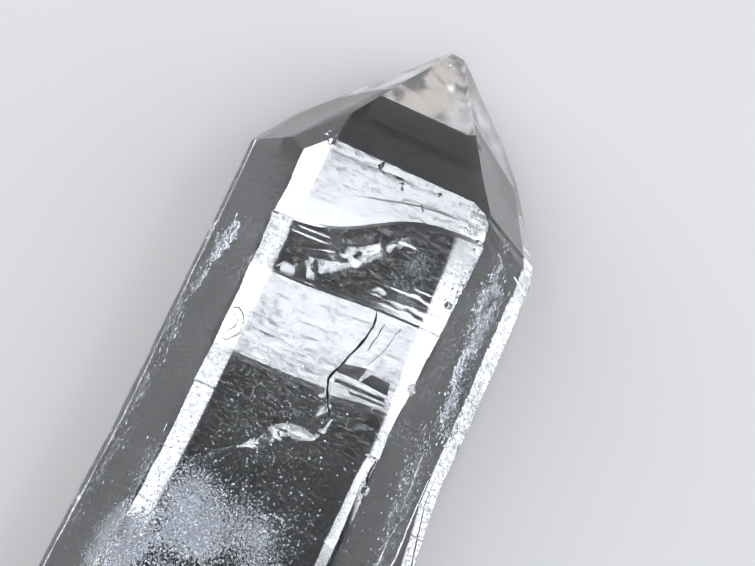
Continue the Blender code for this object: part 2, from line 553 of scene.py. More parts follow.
    def fine_relief(self, spec: PrismFace, depth: Array, along: Array) -> Array:
        """Many short, low ledges: each is a smooth step across the depth, faded out at both its ends.

        The height is the sum over ledges of h * tanh((depth - d) / run) * window(along), where the window is
        a half ellipse about the ledge's own middle, and all of it fades out at the face's two edges.

        Args:
            spec: The face.
            depth: Depth of each point.
            along: Place of each point across the face, from 0 to 1.

        Returns:
            Height of each point.
        """
        chance = np.random.default_rng(spec.fine_seed)
        total = np.zeros(depth.shape)
        edge = np.clip(along * (1.0 - along) * self.fine_edge, 0.0, 1.0)
        for number in range(spec.fine_count):
            place = chance.uniform(self.shoulder, self.length)
            middle, reach = chance.uniform(0.0, 1.0), chance.uniform(*self.fine_reach)
            height = spec.fine_height * chance.uniform(*self.fine_strength) * (1 if number % 2 else -1)
            window = np.clip(1.0 - ((along - middle) / reach) ** 2, 0.0, 1.0) ** 0.5
            fade = np.exp(-np.abs(depth - place) / self.fine_fade)
            total += height * np.tanh((depth - place) / self.fine_run) * window * fade
        return total * edge

    def striations(self, face: int, across: Array, depth: Array) -> Array:
        """Growth lines across the axis, dashes, and slow waves.

        Each is value noise whose places are squeezed along the axis, so that its lumps turn into lines: the
        lines are some 0.4 mm apart, the dashes are the deepest lumps of a coarser noise, and the waves are
        plain noise of a few millimetres.

        Args:
            face: The face's number.
            across: Place of each point across the face, in millimetres.
            depth: Depth of each point.

        Returns:
            Height of each point.
        """
        seed = self.line_seed + 10 * face
        zero = np.zeros(np.shape(depth))
        level = depth - on_line(self.ledge_slant, depth) * np.tanh(across / self.slant_reach)
        shrink, stretch = self.line_squeeze
        places = np.stack([across * shrink, level / stretch, zero], axis=-1)
        lines = value_noise(places, self.line_size, seed)
        shrink, stretch = self.dash_squeeze
        places = np.stack([across * shrink, level / stretch, zero], axis=-1)
        dashes = value_noise(places, self.line_size, seed + 1)
        waves = value_noise(np.stack([across, depth, zero], axis=-1), self.wave_size, seed + 2)
        places = np.stack([across, depth * self.ripple_squeeze, zero], axis=-1)
        ripples = rough_noise(places, self.ripple_size, seed + 3, 2)
        if face == Face.UPPER:
            dark = on_line(self.dark_bands, depth)
            strong, reach, weak = self.line_fade
            spread = np.clip(strong - across / reach, weak, 1.0)
            pits = -self.dash_depth * (1.0 - dark) * np.clip(dashes - self.dash_floor, 0.0, 1.0)
            return self.line_height * dark * spread * lines + pits + self.upper_ripple_height * dark * ripples
        if face == Face.UNDER:
            return zero
        side = np.clip((depth - self.shoulder) / self.relief_start, 0.0, 1.0)
        calm = self.lower_side_calm if face in (Face.LOWER_LEFT, Face.LOWER_RIGHT) else 1.0
        slow = calm * (self.wave_height * waves + self.ripple_height * ripples)
        return side * (self.line_height * self.line_share_at_sides * lines + slow)

    def rings(self) -> Array:
        """The prism as rings of points.

        For each depth the six face lines are met in six corners. Each side runs from corner to corner, less
        a strip at either end, where the worn edge bends round in two facets.

        Returns:
            Across, height over the axis and depth: an array of rings by points by 3.
        """
        depths = self.ring_depths()
        distance = []
        for face, spec in enumerate(self.faces):
            heights = np.interp(depths, *self.profile(face))
            distance.append(spec.distance + heights + on_line(spec.swell, depths))
        corners = []
        wear = []
        for face in range(6):
            before = (face - 1) % 6
            walls = np.array([self.faces[before].outward(), self.faces[face].outward()])
            corners.append(np.linalg.solve(walls, np.array([distance[before], distance[face]])))
            change = value_noise(self.axis_points(depths, face), self.edge_wear_size, self.edge_wear_seed)
            wear.append(self.edge_wear * (1.0 + self.edge_wear_change * change))
        columns = []
        for face, spec in enumerate(self.faces):
            following = (face + 1) % 6
            start, end = corners[face], corners[following]
            side = end - start
            long = np.hypot(*side)
            for step in np.linspace(0.0, 1.0, spec.spans + 1):
                share = (wear[face] + (long - wear[face] - wear[following]) * step) / long
                calm = np.clip(step * (1.0 - step) * self.edge_calm, 0.0, 1.0)
                relief = self.fine_relief(spec, depths, np.full(depths.shape, step))
                relief = relief + calm * self.striations(face, (share - 0.5) * long, depths)
                place = start + side * share + spec.outward()[:, None] * relief
                columns.append((place, self.hold(face, step)))
            inward = -(spec.outward() + self.faces[following].outward())
            inward /= np.hypot(*inward)
            columns.append((end + inward[:, None] * self.edge_bevel * wear[following], self.hold(face, 1.0)))
        return np.stack([self.bent(place, depths, hold) for place, hold in columns], axis=1)

    def bent(self, place: Array, depths: Array, hold: float) -> Array:
        """One column of the rings, with its depths bent so that the ledges run aslant.

        The bend is slant * tanh(across / reach), and beside the crack one border also drops and rises again.

        Args:
            place: Across and height of each point.
            depths: Depth of each ring.
            hold: How much of the bend this column has.

        Returns:
            Across, height and depth of each point.
        """
        across, height = place
        past = across - self.border_step_start
        rise = np.clip(past / self.border_step_run, 0.0, 1.0)
        beside = rise * np.clip(1.0 - past / self.border_step_reach, 0.0, 1.0)
        slant = on_line(self.ledge_slant, depths) * np.tanh(across / self.slant_reach)
        drop = on_line(self.border_step, depths) * beside
        return np.stack([across, height, depths - hold * (slant + drop)], axis=1)

    def axis_points(self, depths: Array, corner: int) -> Array:
        """Places for the noise along one prism edge.

        Args:
            depths: Depth of each ring.
            corner: The edge's number.

        Returns:
            One place for each ring.
        """
        apart = np.full(depths.shape, corner * self.edge_apart)
        return np.stack([apart, np.zeros(depths.shape), depths], axis=1)

    def hold(self, face: int, along: float) -> float:
        """How much of the upper face's slanting ledges carries on here: all of it, or fading down a side."""
        return {Face.UPPER: 1.0, Face.RIGHT: 1.0 - along, Face.LEFT: along}.get(face, 0.0)

    def root_depth(self, across: Array, height: Array, rim: Array) -> Array:
        """Depth of the broken root.

        It is a slope, a hollow towards the middle, ripples in rings about one corner as on any shell-like
        break, lumps, and fine roughness.

        Args:
            across: Place across the crystal.
            height: Height over the long axis.
            rim: 1 at the rim and 0 in the middle.

        Returns:
            Depth of each point.
        """
        reach = np.clip(1.0 - rim, 0.0, 1.0)
        from_corner = np.hypot(across - self.root_corner[0], height - self.root_corner[1])
        calm = self.root_ripple_least + (1.0 - self.root_ripple_least) * rim
        ripples = self.root_ripple * np.sin(from_corner / self.root_ripple_run) * calm
        run, rise = self.root_lump_runs
        lumps = self.root_lump * np.sin(across / run + 1.1) * np.cos(height / rise - 0.4)
        run, rise = self.root_spur_runs
        spurs = 0.5 * self.root_lump * np.sin(across / run) * np.sin(height / rise + 0.7)
        places = np.stack([across, height, np.zeros(np.shape(across))], axis=-1)
        grain = self.root_grain * rough_noise(places, self.root_grain_size, self.root_grain_seed, 4)
        fine = grain * np.minimum(1.0, self.root_fine_gain * (1.0 - rim) + self.root_fine_least)
        slope = self.root_slope * across - self.root_lean * height
        hollow = -self.root_hollow * reach**self.root_hollow_power
        return self.length + (slope + hollow) + ripples + lumps + spurs + fine

    def skin(self) -> bpy.types.Object:
        """The closed prism from above the tip to the broken root, before the point is cut.

        Returns:
            The prism, which the root's rings close at one end and one flat face at the other.
        """
        rings = self.rings()
        rim = rings[-1]
        end = rim.copy()
        broken = self.root_depth(rim[:, 0], rim[:, 1], np.ones(len(rim)))
        end[:, 2] = np.maximum(broken, rim[:, 2] + self.root_least)
        middle = end.mean(axis=0)
        shares = (1.0 - np.arange(1, self.root_rings) / self.root_rings)[:, None, None]
        inner = middle + (end - middle)[None] * shares
        spread = np.broadcast_to(shares[..., 0], inner.shape[:2])
        inner[..., 2] = self.root_depth(inner[..., 0], inner[..., 1], spread)
        layers = np.concatenate([rings, end[None], inner])
        count = len(rim)
        across, height = middle[:2]
        heart = np.array([[across, height, float(self.root_depth(across, height, np.float64(0.0)))]])
        points = np.concatenate([layers.reshape(-1, 3), heart])
        quads = grid_faces(len(layers), count, closed=True)
        last = (len(layers) - 1) * count + np.arange(count)
        close = np.stack([last, np.roll(last, -1), np.full(count, len(points) - 1)], axis=1)
        faces = [*quads.tolist(), *close.tolist(), np.arange(count)[::-1].tolist()]
        return new_piece("crystal", self.placement.lay(points), faces)

    def leaning(self, angle: float, lean: float) -> Array:
        """Unit vector out of a point face, as across, height and tipwards."""
        turn, tip = math.radians(angle), math.radians(lean)
        return np.array([math.sin(turn) * math.sin(tip), math.cos(turn) * math.sin(tip), math.cos(tip)])

    def cutting_planes(self) -> list[tuple[Array, float]]:
        """The planes that shape the point, each as a unit vector and a distance from the tip.

        They are the six faces, the two corner facets, the blunted tip, and a narrow chamfer along each edge
        where two of them meet, or one meets its prism face.

        Returns:
            The planes in the order in which they cut.
        """
        faces = [(self.leaning(angle, self.point_lean), off) for angle, off in self.point_faces]
        walls = [(np.append(spec.outward(), 0.0), spec.distance) for spec in self.faces]
        planes = list(faces)
        planes += [(self.leaning(angle, lean), off) for angle, lean, off in self.corner_facets]
        planes.append((self.leaning(*self.tip_facet), -self.tip_blunting))
        pairs = [(faces[i], faces[(i + 1) % 6]) for i in range(6)]
        pairs += [(faces[i], walls[i]) for i in (0, 3)]
        for (one, off_one), (other, off_other) in pairs:
            both = one + other
            size = float(np.linalg.norm(both))
            planes.append((both / size, (off_one + off_other) / size - self.point_wear))
        return planes

    def cut_point(self, piece: bpy.types.Object) -> None:
        """Cuts the prism with the point's planes and closes each cut with one flat face.

        Args:
            piece: The skin, which is changed.
        """
        work = bmesh.new()
        work.from_mesh(piece.data)
        tip = Vector(self.placement.lay(np.zeros(3)))
        for normal, off in self.cutting_planes():
            out = Vector((normal[0], normal[2], normal[1]))
            cut = bmesh.ops.bisect_plane(
                work,
                geom=[*work.verts, *work.edges, *work.faces],
                dist=self.cut_tolerance,
                plane_co=tip + out * off * MM,
                plane_no=out,
                clear_outer=True,
            )
            rim = [item for item in cut["geom_cut"] if isinstance(item, bmesh.types.BMEdge)]
            bmesh.ops.holes_fill(work, edges=rim, sides=0)
        bmesh.ops.recalc_face_normals(work, faces=work.faces)
        work.to_mesh(piece.data)
        work.free()

    def mark(self, piece: bpy.types.Object) -> None:
        """Writes "frost", how much each point's surface scatters light, as an attribute of the mesh.

        Args:
            piece: The finished crystal.
        """
        flat = np.empty(len(piece.data.vertices) * 3)
        piece.data.vertices.foreach_get("co", flat)
        across, height, depth = np.moveaxis(self.placement.unlay(flat.reshape(-1, 3)), -1, 0)
        across_height = np.stack([across, height], axis=-1)
        gap = np.stack([across_height @ spec.outward() - spec.distance for spec in self.faces])
        near = np.abs(gap) < self.frost.face_reach
        frost = np.zeros(len(depth))
        frost[near[Face.LEFT] | near[Face.RIGHT]] = self.frost.sides
        frost[near[Face.LOWER_LEFT] | near[Face.LOWER_RIGHT]] = self.frost.lower_sides
        frost = np.where(near[Face.UPPER], on_line(self.frost.upper, depth), frost)
        frost[np.abs(gap[Face.UNDER]) < self.frost.under_reach] = self.frost.under
        frost[depth < self.shoulder - self.frost.point_reach] = self.frost.point
        frost[depth > self.length - self.frost.root_reach] = self.frost.root
        body = (depth > self.shoulder) & (depth < self.length - self.frost.inner_from_root)
        frost[body & (gap.max(axis=0) < -self.frost.inner_gap)] = 0.0
        layer = piece.data.attributes.new("frost", "FLOAT", "POINT")
        layer.data.foreach_set("value", frost)

    def make(self) -> bpy.types.Object:
        """Builds the whole skin.

        Returns:
            The finished object.
        """
        piece = self.skin()
        self.cut_point(piece)
        Damage(self.placement).cut(piece)
        return piece


def upper_height(depth: Array) -> Array:
    """Height of the upper face over the long axis at a depth."""
    surface = CrystalSurface()
    return surface.faces[Face.UPPER].distance + np.interp(depth, *surface.profile(Face.UPPER))


def closed_tube(rows: Array) -> Shape:
    """Closes a tube of rings with a point at each end.

    Args:
        rows: Rings of points: rings by points by 3.

    Returns:
        The points, and the quads between rings followed by the triangles at the ends.
    """
    count, around = rows.shape[:2]
    ends = np.stack([rows[0].mean(axis=0), rows[-1].mean(axis=0)])
    points = np.concatenate([rows.reshape(-1, 3), ends])
    quads = grid_faces(count, around, closed=True)
    here = np.arange(around)
    after = np.roll(here, -1)
    base = (count - 1) * around
    first = np.stack([after, here, np.full(around, count * around)], axis=1)
    last = np.stack([base + here, base + after, np.full(around, count * around + 1)], axis=1)
    return points, [*quads.tolist(), *first.tolist(), *last.tolist()]


def smooth_path(corners: Array, count: int) -> Array:
    """Even points along a broken line, with its bends rounded a little.

    Args:
        corners: The line's corners.
        count: Number of points.

    Returns:
        The points.
    """
    lengths = np.concatenate([[0.0], np.cumsum(np.linalg.norm(np.diff(corners, axis=0), axis=1))])
    even = np.linspace(0.0, lengths[-1], count)
    path = np.stack([np.interp(even, lengths, column) for column in corners.T], axis=1)
    inner = (path[:-2] + 2.0 * path[1:-1] + path[2:]) / 4.0
    return np.concatenate([path[:1], inner, path[-1:]])


LONG_CRACK = (
    (4.7, 40.7),
    (5.1, 41.5),
    (5.2, 42.4),
    (4.7, 44.6),
    (4.2, 46.3),
    (3.6, 48.0),
    (3.05, 49.2),
    (2.86, 50.1),
    (3.0, 50.7),
    (3.85, 52.6),
    (4.7, 54.4),
)
OUTER_SHELL_ARC = (
    (-10.9, 47.2),
    (-10.2, 46.9),
    (-9.3, 47.5),
    (-8.9, 48.6),
    (-9.0, 49.9),
    (-9.8, 51.0),
    (-10.7, 50.9),
)


@dataclass
class Damage:
    """Chips, cracks and small sunk facets, cut out of the skin.

    A chip is (across, height, depth, radius, stretch along the axis), a crack is (half-width, depth,
    path over the face), and a facet is (how far it is sunk, tilt in degrees, corners).
    """

    placement: Placement
    chips: tuple[tuple[float, float, float, float, float], ...] = (
        (-9.75, 17.0, 22.0, 1.15, 0.8),
        (8.3, 10.5, 14.0, 0.85, 0.9),
        (-1.97, 18.58, 24.0, 0.50, 1.6),
        (-1.40, 18.60, 24.6, 0.42, 0.8),
        (1.19, 18.60, 24.9, 0.45, 0.7),
        (1.50, 18.60, 25.5, 0.36, 1.2),
        (-5.3, 18.62, 24.0, 0.42, 0.8),
        (5.9, 18.60, 24.3, 0.45, 0.9),
        (3.9, 18.62, 24.1, 0.38, 0.9),
        (8.6, 18.62, 24.4, 0.42, 0.7),
        (5.6, 18.86, 29.6, 0.85, 0.6),
        (9.9, 18.86, 28.6, 0.90, 0.6),
        (-8.67, 19.02, 23.6, 1.15, 0.7),
        (1.32, 18.85, 23.3, 0.85, 0.6),
        (12.44, 18.87, 28.6, 1.30, 1.05),
        (21.76, 3.21, 24.4, 0.90, 1.3),
        (22.0, 2.9, 50.0, 1.00, 2.4),
        (-19.7, 5.58, 37.2, 0.85, 2.2),
        (-19.88, 5.4, 66.0, 0.95, 2.2),
        (12.29, 18.36, 72.0, 0.90, 1.7),
        (-12.4, 17.7, 31.4, 0.55, 0.8),
        (-12.5, 17.5, 55.2, 0.60, 1.0),
        (12.2, 18.1, 36.3, 0.50, 0.9),
        (12.3, 17.9, 47.3, 0.60, 1.2),
        (12.2, 18.0, 60.4, 0.60, 1.0),
        (-12.4, 17.6, 63.1, 0.80, 1.2),
        (-12.4, 17.6, 80.4, 0.70, 1.1),
        (22.3, 1.8, 36.0, 0.60, 1.1),
        (22.9, 1.5, 58.0, 0.80, 1.0),
        (-21.0, 4.9, 30.5, 0.60, 1.0),
        (-20.9, 4.6, 50.8, 0.60, 1.3),
    )
    chip_bands: int = 11
    chip_spokes: int = 16
    chip_flatness: float = 0.75
    chip_lump: float = 0.34
    chip_lump_size: float = 0.7
    chip_seed: int = 40
    chip_apart: float = 9.0
    cracks: tuple[tuple[float, float, Line], ...] = (
        (0.24, 0.9, LONG_CRACK),
        (0.10, 0.4, ((6.3, 41.3), (6.0, 43.3), (5.8, 45.2))),
        (0.09, 0.4, ((8.2, 41.2), (7.5, 44.3), (6.4, 47.0))),
        (0.14, 0.35, ((-2.2, 23.5), (-1.9, 24.3), (-1.5, 24.9), (-0.9, 24.8))),
        (0.14, 0.35, ((0.7, 25.1), (1.0, 24.6), (1.6, 24.5), (2.3, 24.3))),
        (0.18, 0.5, ((1.9, 27.4), (2.4, 26.6), (3.2, 26.1), (4.2, 26.4), (5.0, 27.2))),
        (0.18, 0.5, ((2.7, 27.9), (3.8, 28.3), (4.9, 27.9), (5.6, 28.3))),
        (0.15, 0.45, ((6.2, 27.6), (6.8, 27.0), (7.6, 27.3), (8.4, 26.7))),
        (0.16, 0.45, ((6.9, 28.6), (7.8, 28.2), (8.6, 28.6), (9.3, 28.1))),
        (0.10, 0.30, ((9.4, 27.0), (10.1, 26.6), (10.9, 26.9))),
        (0.06, 0.25, ((-9.9, 25.2), (-10.9, 26.6), (-11.0, 27.9))),
        (0.06, 0.25, ((11.4, 27.3), (12.0, 26.6), (12.7, 26.3))),
        (0.13, 0.5, OUTER_SHELL_ARC),
        (0.10, 0.4, ((-10.9, 48.0), (-10.2, 47.9), (-9.7, 48.5), (-9.7, 49.3), (-10.2, 49.9))),
    )
    facets: tuple[tuple[float, float, Line], ...] = (
        (0.10, 5.0, ((3.7, 47.9), (6.5, 47.3), (6.1, 49.0), (3.3, 49.1))),
        (0.10, 5.0, ((7.3, 47.7), (9.7, 47.8), (10.0, 49.3), (6.4, 49.0))),
        (0.05, 5.0, ((3.6, 49.85), (9.9, 49.66), (9.95, 50.1), (3.6, 50.3))),
        (0.05, 5.0, ((5.6, 50.6), (9.9, 50.4), (9.95, 50.7), (5.6, 50.85))),
    )
    crack_step: float = 1.6
    crack_stray: float = 0.16
    crack_bend_sizes: Pair = (0.9, 1.1)
    crack_bend_seeds: tuple[int, int] = (60, 80)
    crack_uneven: float = 0.45
    crack_uneven_size: float = 0.8
    crack_uneven_seed: int = 90
    crack_end: float = 0.35
    crack_taper: float = 0.4
    # The first cracks get a dark fill that is painted shade: it stands in for the shade inside them.
    shade_filled_cracks: int = 3
    open_section: Line = ((1.0, 0.25), (0.35, -0.5), (0.0, -1.0), (-0.35, -0.5), (-1.0, 0.25), (0.0, 0.6))
    # Section of the dark fill that paints the shade in a crack, just under the face.
    shade_fill_section: Line = ((0.55, -0.12), (0.3, -0.5), (0.0, -0.9), (-0.3, -0.5), (-0.55, -0.12), (0.0, -0.05))

    def chip(self, number: int) -> Shape:
        """A lumpy ball: a sphere whose radius noise changes, and longer along the axis by its stretch.

        Args:
            number: The chip's number.

        Returns:
            Points and faces.
        """
        across, height, depth, radius, stretch = self.chips[number]
        polar = np.linspace(0.0, np.pi, self.chip_bands + 2)[1:-1, None]
        turn = np.linspace(0.0, 2.0 * np.pi, self.chip_spokes, endpoint=False)[None, :]
        ball = np.stack(
            [np.sin(polar) * np.cos(turn), np.sin(polar) * np.sin(turn), np.cos(polar) + 0.0 * turn], axis=-1
        )
        places = ball + self.chip_apart * number
        lump = 1.0 + self.chip_lump * rough_noise(places, self.chip_lump_size, self.chip_seed + number)
        size = np.array([radius, radius * self.chip_flatness, radius * stretch])
        rows = np.array([across, height, depth]) + ball * lump[..., None] * size
        return closed_tube(rows)

    def crack(self, number: int, section: Line) -> Shape:
        """A wavy groove, or the dark fill that paints the shade in it: a narrow section carried along a path
        that strays sideways.

        Its width and depth follow end + (1 - end) * sin(t) ** taper for t along the path, changed by noise,
        so that it thins out at both ends.

        Args:
            number: The crack's number.
            section: Corners as shares of the crack's width and depth.

        Returns:
            Points and faces.
        """
        width, deep, corners = self.cracks[number]
        reach = np.linalg.norm(np.diff(corners, axis=0), axis=1).sum()
        path = smooth_path(np.array(corners), 5 + int(reach / (self.crack_step * width)))
        steps = np.linspace(0.0, 1.0, len(path))
        places = np.stack([path[:, 0], path[:, 1], np.zeros(len(path))], axis=1)
        bends = zip(self.crack_bend_sizes, self.crack_bend_seeds)
        stray = [value_noise(places, size, seed + number) for size, seed in bends]
        path = path + min(self.crack_stray, width) * np.stack(stray, axis=1)
        along = np.gradient(path, axis=0)
        along /= np.linalg.norm(along, axis=1)[:, None]
        sideways = np.stack([-along[:, 1], along[:, 0]], axis=1)
        noise = value_noise(places, self.crack_uneven_size, self.crack_uneven_seed + number)
        taper = self.crack_end + (1.0 - self.crack_end) * np.sin(np.pi * steps) ** self.crack_taper
        swell = taper * (1.0 + self.crack_uneven * noise)
        top = upper_height(path[:, 1])
        rows = []
        for side, down in section:
            place = path + sideways * (side * width * swell)[:, None]
            rows.append(np.stack([place[:, 0], top + down * deep * swell, place[:, 1]], axis=1))
        return closed_tube(np.stack(rows, axis=1))

    def facet(self, number: int) -> Shape:
        """A sunk facet: a four-sided block over the face, whose floor tilts down towards the root.

        Args:
            number: The facet's number.

        Returns:
            Points and faces.
        """
        sink, tilt, outline = self.facets[number]
        corners = np.array(outline)
        low = upper_height(corners[:, 1]) - sink
        low = low - np.tan(math.radians(tilt)) * (corners[:, 1] - corners[:, 1].min())
        floor = np.stack([corners[:, 0], low, corners[:, 1]], axis=1)
        roof = floor + np.array([0.0, 1.0, 0.0])
        return closed_tube(np.stack([floor, roof]))

    def solid(self, name: str, parts: list[Shape]) -> bpy.types.Object:
        """Joins closed shapes into one object.

        Args:
            name: The object's name.
            parts: Points and faces of each shape.

        Returns:
            The object, with its faces turned outwards.
        """
        work = bmesh.new()
        for points, faces in parts:
            take_in(work, closed_mesh(name, self.placement.lay(points), faces))
        mesh = bpy.data.meshes.new(name)
        work.to_mesh(mesh)
        work.free()
        joined = bpy.data.objects.new(name, mesh)
        bpy.context.scene.collection.objects.link(joined)
        return joined

    def crack_shade_fill(self, name: str) -> bpy.types.Object:
        """A dark fill in the first cracks, as a piece of its own: painted shade, standing in for the shade
        inside the cracks.

        Args:
            name: The piece's name.

        Returns:
            The piece.
        """
        return self.solid(name, [self.crack(i, self.shade_fill_section) for i in range(self.shade_filled_cracks)])

    def cut(self, piece: bpy.types.Object) -> None:
        """Takes every chip, crack and facet out of the piece.

        Args:
            piece: The skin, which is changed.
        """
        groups = (
            ("chip_cutter", [self.chip(i) for i in range(0, len(self.chips), 2)]),
            ("second_chip_cutter", [self.chip(i) for i in range(1, len(self.chips), 2)]),
            ("crack_cutter", [self.crack(i, self.open_section) for i in range(len(self.cracks))]),
            ("facet_cutter", [self.facet(i) for i in range(len(self.facets))]),
        )
        for name, parts in groups:
            tool = self.solid(name, parts)
            bite = piece.modifiers.new(name, "BOOLEAN")
            bite.operation = "DIFFERENCE"
            bite.solver = "EXACT"
            bite.object = tool
            graph = bpy.context.evaluated_depsgraph_get()
            result = bpy.data.meshes.new_from_object(piece.evaluated_get(graph))
            piece.modifiers.clear()
            old = piece.data
            piece.data = result
            bpy.data.meshes.remove(old)
            bpy.data.objects.remove(tool)
            LOG.info("%s: %d faces left", name, len(result.polygons))


@dataclass
class Cloud:
    """A group of flat gas-filled flecks: how many, where they lie, how large and how they are turned.

    Jitter is how far they turn from the way they face, in degrees. Flat is their thickness as a share of
    their size, clump the size of the gaps between them, and stretch how much longer they are.
    """

    count: int
    path: Path
    spread: Triple
    size: Pair
    facing: Triple = (0.0, 1.0, 0.0)
    jitter: float = 90.0
    flat: float = 0.05
    clump: float = 2.5
    sides: int = 4
    stretch: float = 1.0


@dataclass
class Film:
    """One gas-filled film: its half-width, its path, its tilt and lean in degrees, its waves and its edge."""

    width: float
    path: Path
    tilt: float = 0.0
    lean: float = 0.0
    waves: float = 0.03
    ragged: float = 0.6


@dataclass
class HealedFractures:
    """Gas-filled films and flecks inside the crystal, closed hollows whose walls face into them."""

    placement: Placement
    clouds: tuple[Cloud, ...] = ()
    films: tuple[Film, ...] = ()
    sparkle_seeds: tuple[int, int] = (700, 13)
    milk_seeds: tuple[int, int] = (900, 17)
    path_steps: int = 400
    tries: int = 4
    scatter: float = 0.22
    most_jitter: float = 75.0
    grain_stray: float = 0.25
    smallness: float = 2.5
    shortest_corner: float = 0.55
    slimmest: float = 0.45
    film_sides: int = 14
    film_half_thickness: float = 0.02
    film_steps: tuple[int, int] = (26, 10)
    film_edge_size: float = 1.1
    film_edge_seed: int = 500
    film_edge_range: Pair = (0.25, 2.0)
    film_wave_size: float = 1.6
    film_wave_seed: int = 540

    def flecks(self, cloud: Cloud, seed: int) -> tuple[Array, Array]:
        """Flat double pyramids with uneven corners, strewn about the cloud's path where noise is high.

        Args:
            cloud: The group.
            seed: Chooses places and turns.

        Returns:
            Points, and triangles that face into each fleck.
        """
        chance = np.random.default_rng(seed)
        corners = np.array(cloud.path)
        spots = smooth_path(corners, self.path_steps)
        places = spots[chance.integers(0, len(spots), cloud.count * self.tries)]
        places = places + chance.normal(0.0, 1.0, places.shape) * np.array(cloud.spread)
        thick = rough_noise(places, cloud.clump, seed + 7, 2) + chance.normal(0.0, self.scatter, len(places))
        places = places[np.argsort(-thick)[: cloud.count]]
        places = places[inside(places)]
        count = len(places)
        facing = np.array(cloud.facing) / np.linalg.norm(cloud.facing)
        jitter = math.tan(math.radians(min(cloud.jitter, self.most_jitter)))
        normal = facing + chance.normal(0.0, jitter, (count, 3))
        normal /= np.linalg.norm(normal, axis=1)[:, None]
        swing = chance.normal(0.0, 1.0, (count, 3))
        along = np.array([0.0, 0.0, 1.0]) + self.grain_stray * swing
        one = np.cross(normal, swing if cloud.stretch == 1.0 else along)
        one /= np.linalg.norm(one, axis=1)[:, None]
        other = np.cross(one, normal)
        size = cloud.size[0] + (cloud.size[1] - cloud.size[0]) * chance.random(count) ** self.smallness
        turns = np.linspace(0.0, 2.0 * np.pi, cloud.sides, endpoint=False)
        reach = size[:, None] * chance.uniform(self.shortest_corner, 1.0, (count, cloud.sides))
        slim = chance.uniform(self.slimmest, 1.0, count)[:, None] * cloud.stretch
        rim = (
            places[:, None]
            + (reach * np.cos(turns))[..., None] * one[:, None]
            - (reach * slim * np.sin(turns))[..., None] * other[:, None]
        )
        peak = normal * (size * cloud.flat)[:, None]
        points = np.concatenate([rim, (places + peak)[:, None], (places - peak)[:, None]], axis=1)
        here = np.arange(cloud.sides)
        after = np.roll(here, -1)
        upper = np.stack([after, here, np.full(cloud.sides, cloud.sides)], axis=1)
        lower = np.stack([here, after, np.full(cloud.sides, cloud.sides + 1)], axis=1)
        shape = np.concatenate([upper, lower])
        starts = (cloud.sides + 2) * np.arange(count)[:, None, None]
        return points.reshape(-1, 3), (shape[None] + starts).reshape(-1, 3)

    def film(self, number: int) -> Shape:
        """A thin film: a flattened section carried along a path, with a ragged edge and a wavy middle.

        The section is w * cos(t) wide and h * sin(t) thick for t round the section, with h the half
        thickness. The half-width w follows the root of the sine of the place along the path, and noise.

        Args:
            number: The film's number.

        Returns:
            Points and faces.
        """
        film = self.films[number]
        base, each = self.film_steps
        path = smooth_path(np.array(film.path), base + each * len(film.path))
        steps = np.linspace(0.0, 1.0, len(path))
        along = np.gradient(path, axis=0)
        along /= np.linalg.norm(along, axis=1)[:, None]
        turn, rise = math.radians(film.lean), math.radians(film.tilt)
        normal = np.array([math.sin(turn), math.cos(turn) * math.cos(rise), -math.cos(turn) * math.sin(rise)])
        sideways = np.cross(normal, along)
        sideways /= np.linalg.norm(sideways, axis=1)[:, None]
        noise = rough_noise(path, self.film_edge_size, self.film_edge_seed + number)
        ragged = np.clip(1.0 + film.ragged * noise, *self.film_edge_range)
        half = film.width * np.sin(np.pi * (0.04 + 0.92 * steps)) ** 0.5 * ragged
        section = np.linspace(0.0, 2.0 * np.pi, self.film_sides, endpoint=False)
        rows = (
            path[:, None]
            + (half[:, None] * np.cos(section))[..., None] * sideways[:, None]
            + (self.film_half_thickness * np.sin(section))[None, :, None] * normal
        )
        flat = rows - ((rows - path[:, None]) @ normal)[..., None] * normal
        wave = film.waves * rough_noise(flat, self.film_wave_size, self.film_wave_seed + number, 2)
        return closed_tube(rows + wave[..., None] * normal)

    def milky(self, name: str) -> bpy.types.Object:
        """The flecks as a piece of their own, with their faces outwards.

        Args:
            name: The piece's name.

        Returns:
            The piece.
        """
        seed, step = self.milk_seeds
        groups = [self.flecks(cloud, seed + step * number) for number, cloud in enumerate(self.clouds)]
        starts = np.cumsum([0] + [len(points) for points, _ in groups[:-1]])
        points = np.concatenate([points for points, _ in groups])
        triangles = np.concatenate([faces[:, ::-1] + start for (_, faces), start in zip(groups, starts)])
        return new_piece(name, self.placement.lay(points), triangles.tolist())

    def join(self, piece: bpy.types.Object) -> None:
        """Adds every film and fleck to the crystal's mesh.

        Args:
            piece: The crystal, which is changed.
        """
        work = bmesh.new()
        work.from_mesh(piece.data)
        for number in range(len(self.films)):
            points, faces = self.film(number)
            take_in(work, closed_mesh("film", self.placement.lay(points), faces, hollow=True))
        seed, step = self.sparkle_seeds
        for number, cloud in enumerate(self.clouds):
            points, triangles = self.flecks(cloud, seed + step * number)
            mesh = bpy.data.meshes.new("flecks")
            mesh.from_pydata(self.placement.lay(points).tolist(), [], triangles.tolist())
            take_in(work, mesh)
        work.to_mesh(piece.data)
        work.free()


def inside(places: Array, margin: float = 0.5, root_margin: float = 6.0) -> Array:
    """Which places lie in the crystal, at least a margin under its skin.

    Args:
        places: Across, height and depth of each place.
        margin: Least distance from every face.
        root_margin: Least distance from the root.

    Returns:
        True for each place that is inside.
    """
    surface = CrystalSurface()
    good = places[:, 2] < surface.length - root_margin
    for spec in surface.faces:
        good &= places[:, :2] @ spec.outward() < spec.distance - margin
    for angle, off in surface.point_faces:
        lean = surface.leaning(angle, surface.point_lean)
        good &= places @ np.array([lean[0], lean[1], -lean[2]]) < off - margin
    return good


